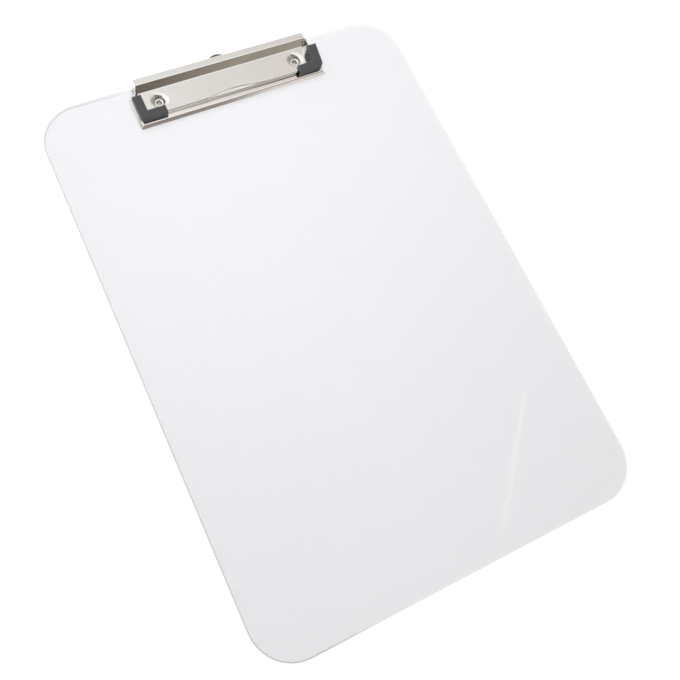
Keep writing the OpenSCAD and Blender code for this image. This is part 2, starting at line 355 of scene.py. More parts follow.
# %% Group: edge wear
wear, given, result, place = new_group(
    "edge_wear", {"Width": 0.0004, "Scale": 900, "Amount": 0.6}, ["Mask"])
rounder = node(wear, "ShaderNodeBevel")
rounder.samples = 4
surface = node(wear, "ShaderNodeNewGeometry")
match = node(wear, "ShaderNodeVectorMath", operation="DOT_PRODUCT")
broken = node(wear, "ShaderNodeTexNoise", Detail=3.0)
join(wear, (given["Width"], rounder.inputs["Radius"]), (rounder.outputs[0], match.inputs[0]),
     (surface.outputs["Normal"], match.inputs[1]), (place, broken.inputs["Vector"]),
     (given["Scale"], broken.inputs["Scale"]))
edge = smooth(wear, match.outputs["Value"], 0.995, 0.88)
uneven = smooth(wear, broken.outputs[0], 0.35, 0.6)
mask = math(wear, "MULTIPLY", math(wear, "MULTIPLY", edge, uneven), given["Amount"], clamp=True)
join(wear, (mask, result["Mask"]))
print(wear.name, len(wear.nodes), "nodes")

# %% [markdown]
# Dust is a scatter of specks: the centres of Voronoi cells, cut off at a small radius, with most cells left
# empty by comparing each cell's own random colour with a limit.

# %% Group: dust specks
dust, given, result, place = new_group(
    "dust_specks", {"Scale": 700, "Size": 0.09, "Share": 0.12}, ["Mask"])
cells = node(dust, "ShaderNodeTexVoronoi")
join(dust, (place, cells.inputs["Vector"]), (given["Scale"], cells.inputs["Scale"]))
near = math(dust, "LESS_THAN", cells.outputs["Distance"], given["Size"])
pick = node(dust, "ShaderNodeSeparateColor")
join(dust, (cells.outputs["Color"], pick.inputs[0]))
kept = math(dust, "LESS_THAN", pick.outputs[0], given["Share"])
mask = math(dust, "MULTIPLY", near, kept)
join(dust, (mask, result["Mask"]))
print(dust.name, len(dust.nodes), "nodes")

# %% [markdown]
# A faint wavy line is painted into the sheet's colour as a painted reflection: the pale streak that a slight
# waviness of the sheet would mirror. It is found as the distance to a slanting line, whose place is pushed to
# and fro by noise along its length, and it fades out at both ends.

# %% Group: painted reflection streak
# Where the painted reflection streak lies: its slope, start, sway and the two ends where it fades.
STREAK_SLOPE, STREAK_START, STREAK_SWAY = 0.83, 0.1526, 0.012
STREAK_BOTTOM, STREAK_TOP = (-0.158, -0.145), (-0.07, -0.10)

painted_streak, given, result, place = new_group("painted_reflection_streak", {"Width": 0.0022, "Amount": 0.5}, ["Mask"])
split = node(painted_streak, "ShaderNodeSeparateXYZ")
waver = node(painted_streak, "ShaderNodeTexNoise", noise_dimensions="1D", Scale=55.0, Detail=2.0)
join(painted_streak, (place, split.inputs[0]), (split.outputs["Y"], waver.inputs["W"]))
line_x = math(painted_streak, "ADD", math(painted_streak, "MULTIPLY", split.outputs["Y"], STREAK_SLOPE), STREAK_START)
sway = math(painted_streak, "MULTIPLY", math(painted_streak, "SUBTRACT", waver.outputs[0], 0.5), STREAK_SWAY)
pushed = math(painted_streak, "ADD", line_x, sway)
away = math(painted_streak, "ABSOLUTE", math(painted_streak, "SUBTRACT", split.outputs["X"], pushed))
thin = math(painted_streak, "SUBTRACT", 1.0, math(painted_streak, "DIVIDE", away, given["Width"]), clamp=True)
ends = math(painted_streak, "MULTIPLY", smooth(painted_streak, split.outputs["Y"], *STREAK_BOTTOM),
            smooth(painted_streak, split.outputs["Y"], *STREAK_TOP))
mask = math(painted_streak, "MULTIPLY", math(painted_streak, "MULTIPLY", thin, ends), given["Amount"], clamp=True)
join(painted_streak, (mask, result["Mask"]))
print(painted_streak.name, len(painted_streak.nodes), "nodes")

# %% [markdown]
# ## Finishes
# Each finish is one Principled shader. A value that is the same all over is set on the shader's own socket,
# and only what changes over the surface is linked in from the groups above.

# %% Helper: start a material
def material(name, **values):
    """A new material, its tree and its Principled shader, with plain values set on the shader's sockets."""
    made = bpy.data.materials.new(name)
    made.use_nodes = True
    shader = made.node_tree.nodes["Principled BSDF"]
    for key, value in values.items():
        shader.inputs[key.replace("_", " ")].default_value = value
    return made, made.node_tree, shader.inputs


def bump(tree, shader, height, strength, distance):
    """Feeds a height into the shader's normal."""
    made = node(tree, "ShaderNodeBump", Strength=strength, Distance=distance)
    join(tree, (height, made.inputs["Height"]), (made.outputs[0], shader["Normal"]))


# %% [markdown]
# Nickel plate is nearly colourless metal, a touch warm. It mirrors sharply where clean and softly under
# finger grease, has hairline scratches that catch light, and rubs darker along its sheared edges. One
# function makes each variant, so the lever, the base plate and the rivets match without being the same.

# %% Nickel plate
def nickel(name, tint, shade, clean, greasy, turn, scratched=0.5, worn=0.5):
    """Plated sheet: tint where it is clean, shade where it is scratched, with the scratches turned."""
    made, tree, shader = material(name, Metallic=1.0)
    smears = use(tree, marks, Scale=45, Clean=clean, Greasy=greasy)
    hairs = use(tree, scratches, Scale=1100, Turn=turn, Amount=scratched)
    rubbed = use(tree, wear, Width=0.0003, Amount=worn)
    cloudy = mix(tree, smears["Mask"], tint, [c * 0.965 for c in tint])
    lined = mix(tree, hairs["Mask"], cloudy, shade)
    join(tree, (mix(tree, rubbed["Mask"], lined, [c * 0.72 for c in shade]), shader["Base Color"]),
         (math(tree, "ADD", smears["Roughness"], math(tree, "MULTIPLY", hairs["Mask"], 0.25)),
          shader["Roughness"]))
    bump(tree, shader, hairs["Height"], 0.25, 0.00002)
    return made


plate_lever = nickel("nickel_lever", (0.86, 0.855, 0.835), (0.70, 0.68, 0.65), 0.10, 0.17, 0.15, 0.45)
plate_base = nickel("nickel_base", (0.88, 0.85, 0.83), (0.70, 0.66, 0.63), 0.09, 0.16, -0.1, 0.4)
plate_rivet = nickel("nickel_rivet", (0.90, 0.89, 0.87), (0.70, 0.68, 0.66), 0.12, 0.2, 0.8, 0.35, 0.6)
print("nickel:", plate_lever.name, plate_base.name, plate_rivet.name)

# %% [markdown]
# The board is clear plastic with a trace of milk in it, so things behind it look paler. A real refracting
# slab costs a lot of light paths and shows nothing more on a flat sheet, so each face is made partly see-
# through instead. The sawn and flamed edge gathers light and looks greyer, so it gets its own finish. Along
# its left side that edge is painted greyer and less clear, as painted shade on that side.

# %% Clear plastic
def clear_plastic(name, tint, opacity, clean, greasy):
    """Clear sheet that shows its own tint only as far as its opacity goes."""
    made, tree, shader = material(name, Alpha=opacity, IOR=1.49, Coat_Weight=1.0)
    shader["Specular IOR Level"].default_value = 1.0
    smears = use(tree, marks, Scale=14, Clean=clean, Greasy=greasy)
    hairs = use(tree, scratches, Scale=420, Turn=0.9, Stretch=0.02, Amount=0.35)
    specks = use(tree, dust, Scale=420, Size=0.06, Share=0.05)
    lined = mix(tree, hairs["Mask"], tint, [c * 1.25 for c in tint])
    # Painted reflection: a faint, paler wavy streak is mixed into the sheet's colour.
    reflection_streak = use(tree, painted_streak, Amount=0.45)
    streaked = mix(tree, reflection_streak["Mask"], lined, (0.86, 0.86, 0.88))
    join(tree, (mix(tree, specks["Mask"], streaked, [c * 0.8 for c in tint]), shader["Base Color"]),
         (smears["Roughness"], shader["Roughness"]))
    bump(tree, shader, hairs["Height"], 0.15, 0.00002)
    return made


# Painted shade: where the edge turns greyer and less clear along the left side, how clear, and how grey.
LEFT_SHADE_SPAN = (-0.045, -0.08)
LEFT_SHADE_OPACITY = (0.30, 0.53)
LEFT_SHADE_GREY = (0.48, 0.485, 0.51)

plastic_face = clear_plastic("clear_board", (0.545, 0.55, 0.60), 0.34, 0.05, 0.14)
plastic_edge = clear_plastic("clear_board_edge", (0.58, 0.585, 0.61), 0.42, 0.12, 0.3)
tree = plastic_edge.node_tree
shader = tree.nodes["Principled BSDF"].inputs
apart = node(tree, "ShaderNodeSeparateXYZ")
join(tree, (node(tree, "ShaderNodeTexCoord").outputs["Object"], apart.inputs[0]))
# Painted shade on the edge's left side: its colour and opacity are stepped toward grey there.
left_shade = smooth(tree, apart.outputs["X"], *LEFT_SHADE_SPAN)
left_shaded_grey = mix(tree, left_shade, shader["Base Color"].links[0].from_socket, LEFT_SHADE_GREY)
join(tree, (left_shaded_grey, shader["Base Color"]),
     (smooth(tree, apart.outputs["X"], *LEFT_SHADE_SPAN, *LEFT_SHADE_OPACITY), shader["Alpha"]))
print("plastic:", plastic_face.name, plastic_edge.name)

# %% [markdown]
# The jaw corners are moulded rubber: dark slate, satin, with a fine leathery pitting. Their edges are
# painted pale: partly rub wear from fingers, partly a painted highlight along the convex edges. Sheen
# lifts the dark colour at grazing angles, as rubber does under a white tent.

# %% Rubber
RUBBER_DARK, RUBBER_PALE = (0.022, 0.021, 0.021), (0.072, 0.074, 0.079)
# The first colour on the next line is the pale edge colour: rub wear and a painted edge highlight together.
RUBBER_WORN_AND_LIT, RUBBER_DUST = (0.15, 0.152, 0.155), (0.2, 0.2, 0.2)

rubber, tree, shader = material("black_rubber", IOR=1.5)
shader["Sheen Weight"].default_value = 0.25
shader["Sheen Roughness"].default_value = 0.4
smears = use(tree, marks, Scale=160, Clean=0.42, Greasy=0.6)
rubbed = use(tree, wear, Width=0.0011, Scale=300, Amount=0.8)
specks = use(tree, dust, Scale=1500, Size=0.12, Share=0.07)
pits = node(tree, "ShaderNodeTexNoise", Scale=3800.0, Detail=3.0)
swirl = node(tree, "ShaderNodeTexNoise", Scale=150.0, Detail=4.0, Distortion=0.8)
dark = mix(tree, smooth(tree, swirl.outputs[0], 0.35, 0.7), RUBBER_DARK, RUBBER_PALE)
# Pale edge band: partly rub wear, partly a painted highlight on the convex edges.
worn = mix(tree, rubbed["Mask"], dark, RUBBER_WORN_AND_LIT)
join(tree, (mix(tree, specks["Mask"], worn, RUBBER_DUST), shader["Base Color"]),
     (smears["Roughness"], shader["Roughness"]))
bump(tree, shader, pits.outputs[0], 0.35, 0.00006)
print("rubber:", len(tree.nodes), "nodes")

# %% [markdown]
# The hidden steel parts are plainer: drawn wire has lines along its length, and zinc plate is pale with a
# fine crystal grain. The hanging tab is dark, polished plate.

# %% Steels
def plain_steel(name, tint, clean, greasy, grain_scale, grain_depth):
    """Bare or plated steel with a crystal grain, darker in its scratches and bright where it is rubbed."""
    made, tree, shader = material(name, Metallic=1.0)
    smears = use(tree, marks, Scale=120, Clean=clean, Greasy=greasy)
    hairs = use(tree, scratches, Scale=1500, Turn=1.2, Amount=0.5)
    rubbed = use(tree, wear, Width=0.0002, Amount=0.5)
    crystals = node(tree, "ShaderNodeTexVoronoi", Scale=grain_scale)
    grained = mix(tree, math(tree, "MULTIPLY", crystals.outputs["Distance"], grain_depth), tint,
                  [c * 0.6 for c in tint])
    lined = mix(tree, hairs["Mask"], grained, [c * 0.75 for c in tint])
    join(tree, (mix(tree, rubbed["Mask"], lined, [min(1, c * 1.3) for c in tint]), shader["Base Color"]),
         (smears["Roughness"], shader["Roughness"]))
    bump(tree, shader, hairs["Height"], 0.2, 0.00002)
    return made


pin_steel = plain_steel("pin_steel", (0.66, 0.65, 0.63), 0.22, 0.34, 2500, 0.3)
spring_steel = plain_steel("spring_steel", (0.42, 0.41, 0.40), 0.2, 0.35, 2500, 0.2)
washer_steel = plain_steel("washer_steel", (0.72, 0.72, 0.71), 0.3, 0.45, 1800, 0.5)
tab_steel = plain_steel("tab_steel", (0.23, 0.22, 0.21), 0.16, 0.3, 2200, 0.3)
print("steels:", [m.name for m in (pin_steel, spring_steel, washer_steel, tab_steel)])

# %% [markdown]
# ## Pieces
# All the shapes here are loops of points joined by bands of faces: an outline stepped round an edge, a
# profile turned round an axis, or a bent section carried along a length. These few helpers do that, and the
# last one turns the result into a piece that rides on its body and stands in for its plain node.

# %% Helpers: rings, bands and caps
def ring(bm, points):
    """A loop of new vertices."""
    return [bm.verts.new(p) for p in points]


def band(bm, one, other):
    """Faces between two loops of the same length."""
    nexts = [(i, (i + 1) % len(one)) for i in range(len(one))]
    return [bm.faces.new((one[i], one[k], other[k], other[i])) for i, k in nexts]


def cap(bm, *loops):
    """Fills the flat face inside the first loop and outside the others."""
    edges = []
    for loop in loops:
        for a, b in zip(loop, loop[1:] + loop[:1]):
            edges.append(bm.edges.get((a, b)) or bm.edges.new((a, b)))
    bmesh.ops.triangle_fill(bm, use_beauty=True, use_dissolve=False, edges=edges)


def circle(centre, radius, z, count=48):
    """Points round an upright axis."""
    return [(centre[0] + radius * cos(tau * i / count), centre[1] + radius * sin(tau * i / count), z)
            for i in range(count)]


def piece(name, bm, finishes, slot, body, *nodes, sharp=32):
    """A smooth-shaded piece that stands in for its nodes, and rides on its body if it has one."""
    bmesh.ops.recalc_face_normals(bm, faces=bm.faces)
    mesh = bpy.data.meshes.new(name)
    bm.to_mesh(mesh)
    bm.free()
    mesh.shade_smooth()
    mesh.set_sharp_from_angle(angle=radians(sharp))
    for finish in finishes:
        mesh.materials.append(finish)
    made = bpy.data.objects.new(name, mesh)
    bpy.context.collection.objects.link(made)
    if body:
        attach(made, body)
    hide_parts(*nodes)
    print(f"{name}: {len(mesh.vertices)} vertices on {body}")
    return made


def middle(name):
    """The middle of a node's box."""
    low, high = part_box(name)
    return (low + high) / 2


# %% [markdown]
# The board is one sheet, cut with big round corners and polished edges. Its outline is stepped round each
# edge as rings, so the edge is truly round and its finish can differ from the faces. Two holes go through
# for the rivets, each with a shallow seat in the back that keeps the washer and the rivet's tail below it.

# %% Board
CORNER_R = 0.024
EDGE_R = 0.0008
EDGE_STEPS = 6
SEAT_MARGIN = 0.0005
RIVET_HOLE_R = 0.00205
board_size = board_high - board_low


def outline(inset, z, steps=24):
    """The board's outline moved inward by inset, at height z."""
    reach = [board_size.x / 2 - CORNER_R, board_size.y / 2 - CORNER_R]
    points = []
    for quarter, (sx, sy) in enumerate(((1, 1), (-1, 1), (-1, -1), (1, -1))):
        for i in range(steps + 1):
            a = pi / 2 * (quarter + i / steps)
            r = CORNER_R - inset
            points.append((sx * reach[0] + r * cos(a), sy * reach[1] + r * sin(a), z))
    return points


bm = bmesh.new()
turns = [pi / 2 * i / EDGE_STEPS for i in range(EDGE_STEPS + 1)]
profile = [(EDGE_R * (1 - sin(a)), board_low.z + EDGE_R * (1 - cos(a))) for a in turns]
profile += [(inset, board_high.z + board_low.z - z) for inset, z in reversed(profile)]
rims = [ring(bm, outline(inset, z)) for inset, z in profile]
side = [face for one, other in zip(rims, rims[1:]) for face in band(bm, one, other)]
fronts, backs = [rims[-1]], [rims[0]]
for name in ("rivet_washer_left", "rivet_washer_right"):
    low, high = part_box(name)
    centre = middle(name)
    seat_r = (high.x - low.x) / 2 + SEAT_MARGIN
    mouth, seat = (ring(bm, circle(centre, seat_r, z)) for z in (board_low.z, high.z))
    inner, front = (ring(bm, circle(centre, RIVET_HOLE_R, z)) for z in (high.z, board_high.z))
    for one, other in ((mouth, seat), (seat, inner), (inner, front)):
        side += band(bm, one, other)
    fronts.append(front)
    backs.append(mouth)
cap(bm, *fronts)
cap(bm, *backs)
for face in side:
    face.material_index = 1
piece("clear_board", bm, (plastic_face, plastic_edge), "clear_board", "base", "board")

# %% [markdown]
# Some nodes already have the right shape, but with knife-sharp edges that no real part has. Remodelling them
# would only add mistakes, so a copy is cleaned of the triangles that the file format cut it into, and its
# edges are bevelled. A test picks which edges, by where their ends lie.

# %% Helpers: a softened copy of a node
def clean_copy(name):
    """The node's mesh as a bmesh, with split vertices joined and flat faces made whole."""
    bm = bmesh.new()
    bm.from_mesh(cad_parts[name].data)
    bmesh.ops.remove_doubles(bm, verts=bm.verts, dist=2e-6)
    bmesh.ops.dissolve_limit(bm, angle_limit=radians(0.6), verts=bm.verts, edges=bm.edges)
    return bm


def soften(bm, width, segments=2, angle=28, where=lambda a, b: True):
    """Rounds the sharp edges whose two ends pass the test."""
    edges = [e for e in bm.edges if len(e.link_faces) == 2 and e.calc_face_angle(0) > radians(angle)
             and where(e.verts[0].co, e.verts[1].co)]
    bmesh.ops.bevel(bm, geom=edges, offset=width, segments=segments, profile=0.5, affect="EDGES",
                    clamp_overlap=True)
    return len(edges)


# %% [markdown]
# The base plate is pressed from one blank, with a web, rims that turn down to the board, ears and rivet
# seats. Its rims are spread and leaned, as a press needs to let go of them. Then its outer bends are rounded
# widely, and every other edge just enough to catch light.

# %% Base plate
BEND_R = 0.0006
BURR_R = 0.0001
RIM_OUT = 0.0006
SIDE_LEAN, FRONT_LEAN = 0.0016, 0.0014
SIDE_BAND, FRONT_BAND = 0.0575, 0.0008
TALL = 0.001
JAW_GAP = 0.00005
NEAR = 0.00002
base_low, base_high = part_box("base_plate")
web_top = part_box("jaw_corner_left")[0].z - JAW_GAP


def outer_bend(a, b):
    """True along the front and side bends of the web, and up its two front corners."""
    at_side = min(abs(a.x), abs(b.x)) > base_high.x + RIM_OUT - SIDE_LEAN - NEAR
    at_front = max(a.y, b.y) < base_low.y - RIM_OUT + FRONT_LEAN + NEAR
    on_top = min(a.z, b.z) > web_top - NEAR
    corner = at_side and at_front and abs(a.x - b.x) < 2 * FRONT_LEAN and abs(a.z - b.z) > TALL
    return (at_side or at_front) and on_top or corner


bm = clean_copy("base_plate")
for v in bm.verts:
    upper = FACE_Z + TALL < v.co.z < web_top + NEAR
    if abs(v.co.x) > SIDE_BAND and v.co.z < web_top + NEAR:
        out = RIM_OUT - (SIDE_LEAN if upper else 0)
        v.co.x += out if v.co.x > 0 else -out
    if v.co.y < base_low.y + FRONT_BAND:
        v.co.y -= RIM_OUT - (FRONT_LEAN if upper else 0)
bends = soften(bm, BEND_R, 5, where=outer_bend)
edges = soften(bm, BURR_R, 2)
print("base plate:", bends, "bends and", edges, "edges rounded")
piece("pressed_base_plate", bm, (plate_base,), "nickel_base", "base", "base_plate")

# %% [markdown]
# Bent sheet is drawn as a press brake makes it: straight runs joined by arcs. One helper turns the corners
# of a path into arcs of a given bend radius, and another gives the path the sheet's thickness, with the ends
# rounded as shears leave them. A bevelled curve could do it too, but not with a section that changes.

# %% Helpers: a bent section
def rounded(corners, steps=7):
    """A path through (depth, height, radius) corners, each corner with a radius turned into an arc."""
    path = []
    for i, (depth, height, radius) in enumerate(corners):
        here = Vector((depth, height))
        if not radius:
            path.append(here)
            continue
        to_last = (Vector(corners[i - 1][:2]) - here).normalized()
        to_next = (Vector(corners[i + 1][:2]) - here).normalized()
        half = to_last.angle(to_next) / 2
        centre = here + (to_last + to_next).normalized() * radius / sin(half)
        start = here + to_last * radius / (sin(half) / cos(half)) - centre
        end = here + to_next * radius / (sin(half) / cos(half)) - centre
        swing = start.angle_signed(end)
        path += [centre + Matrix.Rotation(-swing * k / steps, 2) @ start for k in range(steps + 1)]
    return path


def thick(path, thickness):
    """The closed section of a sheet whose middle runs along path, with rounded sheared ends."""
    normals = []
    for i in range(len(path)):
        way = (path[min(i + 1, len(path) - 1)] - path[max(i - 1, 0)]).normalized()
        normals.append(Vector((-way.y, way.x)) * thickness / 2)
    over = [p + n for p, n in zip(path, normals)]
    under = [p - n for p, n in zip(path, normals)]
    tail = path[-1] + (path[-1] - path[-2]).normalized() * thickness * 0.3
    head = path[0] + (path[0] - path[1]).normalized() * thickness * 0.3
    return over + [tail] + under[::-1] + [head]


# %% [markdown]
# The lever is one bent strip: a turned-down lip, a crest, a riser, a flat face and a front flange. It could
# be a flat grid with a Solidify modifier, but in the middle the front is pressed down to a low shelf, behind
# an arched step, so its section changes along its length. So two sections are drawn, a plain one and one
# through the middle. Each place across gets a blend of the two, and all of them are lofted.

# %% Lever sizes
SHEET = 0.7
lever_low, lever_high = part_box("lever_plate")
LIP_DEPTH = (TOP_Y - lever_high.y) / MM
CREST_H = (lever_high.z - FACE_Z) / MM
FRONT_DEPTH = (TOP_Y - lever_low.y) / MM
FACE_H = 4.5
CREST_DEPTH, FOOT_DEPTH = 3.7, 8.2
FLANGE_H = 2.3
ARCH_DEPTH, ARCH_HALF = 1.9, 21.0
FRONT_R, STEP_RUN, STEP_DROP = 0.55, 0.35, 0.6
LIP_R, CREST_R, FOOT_R = 0.45, 1.1, 1.7
LIP_END_H, LIP_TURN_H, LIP_SPLAY = 6.45, 6.95, 0.15
LEAN = 0.9
LEVER_HALF = 54.4
LEVER_STEPS = 72
print("lever: lip", round(LIP_DEPTH, 2), "crest", round(CREST_H, 2), "front", round(FRONT_DEPTH, 2))


def front_bend(depth, height, middle_part):
    """The corners of the front bend: one round bend, or in the middle a step down, a shelf and a bend."""
    if not middle_part:
        turn = FRONT_R * sin(radians(15)) / cos(radians(15))
        a, b = depth - FRONT_R + turn, height
        c, d = a + 2 * turn * cos(radians(30)), b - 2 * turn * sin(radians(30))
        corners = [(a, b, FRONT_R), (c, d, FRONT_R), (depth, d - 2 * turn * cos(radians(30)), FRONT_R)]
    else:
        a = depth - 0.3 - ARCH_DEPTH
        corners = [(a, height, 0.32), (a + STEP_RUN, height - STEP_DROP, 0.25),
                   (depth, height - STEP_DROP - 0.12, 0.28)]
    return corners + [(depth, FLANGE_H + 0.1, 0)]


def lever_section(x):
    """The lever's section at x, as (depth, height) points in millimetres."""
    weight = (1 + cos(pi * x / ARCH_HALF)) / 2 if abs(x) < ARCH_HALF else 0
    mid = SHEET / 2
    lean = LEAN * (x / LEVER_HALF + 1) / 2
    back = [(LIP_DEPTH + mid + lean + LIP_SPLAY, LIP_END_H, 0),
            (LIP_DEPTH + mid + lean, LIP_TURN_H, LIP_R),
            (CREST_DEPTH + lean, CREST_H - mid - 0.02, CREST_R),
            (FOOT_DEPTH - mid, FACE_H - mid, FOOT_R)]
    plain, stepped = (rounded(back + front_bend(FRONT_DEPTH - mid, FACE_H - mid, arch))
                      for arch in (False, True))
    return thick([a.lerp(b, weight) for a, b in zip(plain, stepped)], SHEET)


bm = bmesh.new()
places = [LEVER_HALF * (2 * i / LEVER_STEPS - 1) for i in range(LEVER_STEPS + 1)]
sections = [ring(bm, [at(x, *point) for point in lever_section(x)]) for x in places]
for one, other in zip(sections, sections[1:]):
    band(bm, one, other)
for end in (sections[0], sections[-1]):
    bm.faces.new(end)
lever = piece("bent_lever_plate", bm, (plate_lever,), "nickel_lever", "lever", "lever_plate", sharp=38)

# %% [markdown]
# The plate's right end is sheared off at a slant, so that its face stops short of the rubber corner there.
# That cut is a prism, and the holes further on are turned shapes; both are taken away by one helper, with an
# exact Boolean that is applied at once.

# %% Helper: cutting, and the slanted end
SLANT = [(55.5, 4.0), (54.0, 4.9), (52.3, 6.2), (51.8, 8.2), (50.2, 13.0), (49.7, 20.5), (55.5, 20.5)]
SHARP = radians(38)


def closed(bm, loops):
    """A solid from a row of loops, with flat caps on its two ends."""
    for one, other in zip(loops, loops[1:]):
        band(bm, one, other)
    for end in (loops[0], loops[-1]):
        bm.faces.new(end)


def cut(piece_made, bm):
    """Takes the solids in bm out of a piece for good."""
    bmesh.ops.recalc_face_normals(bm, faces=bm.faces)
    mesh = bpy.data.meshes.new("cutter")
    bm.to_mesh(mesh)
    bm.free()
    cutter = bpy.data.objects.new("cutter", mesh)
    bpy.context.collection.objects.link(cutter)
    step = piece_made.modifiers.new("cut", "BOOLEAN")
    step.operation, step.solver, step.use_self, step.object = "DIFFERENCE", "EXACT", True, cutter
    bpy.context.view_layer.update()
    seen = piece_made.evaluated_get(bpy.context.evaluated_depsgraph_get())
    result_mesh = bpy.data.meshes.new_from_object(seen)
    piece_made.modifiers.clear()
    piece_made.data = result_mesh
    result_mesh.set_sharp_from_angle(angle=SHARP)
    bpy.data.objects.remove(cutter)


def grow(piece_made, add):
    """Adds more closed shells to a piece; add is a function that builds them in a bmesh."""
    bm = bmesh.new()
    bm.from_mesh(piece_made.data)
    add(bm)
    bmesh.ops.recalc_face_normals(bm, faces=bm.faces)
    for face in bm.faces:
        face.smooth = True
    bm.to_mesh(piece_made.data)
    bm.free()
    piece_made.data.set_sharp_from_angle(angle=SHARP)


bm = bmesh.new()
closed(bm, [ring(bm, [at(x, depth, h) for x, depth in SLANT]) for h in (0.5, 9.0)])
cut(lever, bm)
print("slanted end:", len(lever.data.vertices), "vertices")

# %% [markdown]
# Two ears hang under the riser, one at each end, and carry the hinge pin. Each is a flat plate: an arc round
# the pin, then straight up to the riser. One long rod takes the pin's hole out of both of them.

# %% Ears of the lever
pin_middle = middle("hinge_pin")
PIN_DEPTH = (TOP_Y - pin_middle.y) / MM
PIN_H = (pin_middle.z - FACE_Z) / MM
EAR_R, PIN_HOLE_R = 1.7, 1.05
arc = [(PIN_DEPTH - EAR_R * cos(a), PIN_H - EAR_R * sin(a)) for a in (pi * i / 12 for i in range(12))]
ear = arc + [(FOOT_DEPTH - 1.0, FACE_H - SHEET), (CREST_DEPTH + 0.5, CREST_H - SHEET - 0.3),
             (CREST_DEPTH - 0.4, CREST_H - SHEET)]


def add_ears(bm):
    """Both ears, each as thick as the sheet."""
    for s in (-1, 1):
        closed(bm, [ring(bm, [at(s * x, *p) for p in ear]) for x in (LEVER_HALF - SHEET, LEVER_HALF)])


grow(lever, add_ears)
bm = bmesh.new()
turns = [tau * i / 32 for i in range(32)]
closed(bm, [ring(bm, [at(x, PIN_DEPTH + PIN_HOLE_R * cos(a), PIN_H + PIN_HOLE_R * sin(a)) for a in turns])
            for x in (-LEVER_HALF - 1, LEVER_HALF + 1)])
cut(lever, bm)
print("ears:", len(lever.data.vertices), "vertices")

# %% [markdown]
# The rivets are set through two holes in the lever's face, whose edges are drawn down into shallow dishes. A
# straight hole is cut first, then a turned ring fills it: a gentle slope in from the face to a rolled inner
# edge, with the thickness of the sheet under it.

# %% Dished holes in the lever
DISH_R, HOLE_R, DISH_DROP = 5.6, 3.3, 1.1
DISH_STEPS, AROUND_DISH = 8, 64
EDGE_BREAK = 0.0001


def turned(bm, profile, centre):
    """A closed profile of (radius, z) turned round an upright axis."""
    loops = [ring(bm, circle(centre, r, z, AROUND_DISH)) for r, z in profile]
    for one, other in zip(loops, loops[1:] + loops[:1]):
        band(bm, one, other)


slope = [(DISH_R + 0.03, FACE_H)]
for i in range(1, DISH_STEPS + 1):
    t = i / DISH_STEPS
    slope.append((DISH_R - (DISH_R - HOLE_R - 0.2) * t, FACE_H - DISH_DROP * (0.45 * t + 0.55 * t * t)))
inner_edge = FACE_H - DISH_DROP
slope += [(HOLE_R + 0.05, inner_edge - 0.12), (HOLE_R, inner_edge - 0.3), (HOLE_R + 0.08, inner_edge - 0.55),
          (HOLE_R + 0.3, inner_edge - 0.65), (DISH_R + 0.03, FACE_H - SHEET)]
dish_centres = [middle(name) for name in ("rivet_left", "rivet_right")]


def add_dishes(bm):
    """A turned ring in each of the two holes."""
    for centre in dish_centres:
        turned(bm, [(r * MM, FACE_Z + h * MM) for r, h in slope], centre)


bm = bmesh.new()
for centre in dish_centres:
    closed(bm, [ring(bm, circle(centre, DISH_R * MM, FACE_Z + h * MM, AROUND_DISH)) for h in (2.6, 5.5)])
cut(lever, bm)
grow(lever, add_dishes)
edge_break = lever.modifiers.new("broken_edges", "BEVEL")
edge_break.width = EDGE_BREAK
edge_break.segments = 2
edge_break.angle_limit = radians(55)
print("dished holes:", len(lever.data.vertices), "vertices")

# %% [markdown]
# The jaw corners are copies of their nodes with well-rounded edges, since rubber can't hold a sharp one.
# The right one has crept outward and its angle has been pulled open, which leaves a dark gap beside the
# lever. Its mesh is pushed out and sheared that way, more the farther each point is from the corner. The
# lower lip of its slot, which the lever has slipped out of, shows in the gap.

# %% Jaw corners
RUBBER_R = 0.00055
CREEP = 0.0004
SIDE_OPEN, FRONT_OPEN = 0.15, 0.05
SLOT_LIP = [(50.3, 12.6), (51.3, 11.9), (54.2, 11.5), (54.2, 20.5), (50.0, 20.5), (49.9, 15.0)]

for side_name in ("left", "right"):
    bm = clean_copy(f"jaw_corner_{side_name}")
    soften(bm, RUBBER_R, 4, angle=35)
    if side_name == "right":
        closed(bm, [ring(bm, [at(x, depth, h) for x, depth in SLOT_LIP]) for h in (2.15, 3.2)])
        elbow = at(53, 21, 0)
        for v in bm.verts:
            v.co.x, v.co.y = (v.co.x + CREEP + SIDE_OPEN * max(0, v.co.y - elbow.y),
                              v.co.y - FRONT_OPEN * max(0, elbow.x - v.co.x))
    piece(f"rubber_corner_{side_name}", bm, (rubber,), "black_rubber", "lever",
          f"jaw_corner_{side_name}", sharp=60)

# %% [markdown]
# A hollow rivet is a tube with its head rolled out into a smooth ring, and its tail clinched over a washer.
# Both ends are half ellipses in the section, so the whole rivet is one closed profile turned round its axis.
# Its bore is painted darker as painted shade in the hollow: a mask by distance from the axis, the same for
# both since they mirror each other.

# %% Rivets and washers
BORE_R, SHANK_R, HEAD_R, TAIL_R, HEAD_T = 1.1, 2.0, 3.4, 3.2, 1.6
HEAD_SEAT = 1.0
WASHER_HOLE_R, WASHER_LIP = 0.00206, 0.0001
RIVET_STEPS = 12
# The grey painted into the rivet's bore, as painted shade in the hollow.
BORE_SHADE = (0.40, 0.375, 0.36)

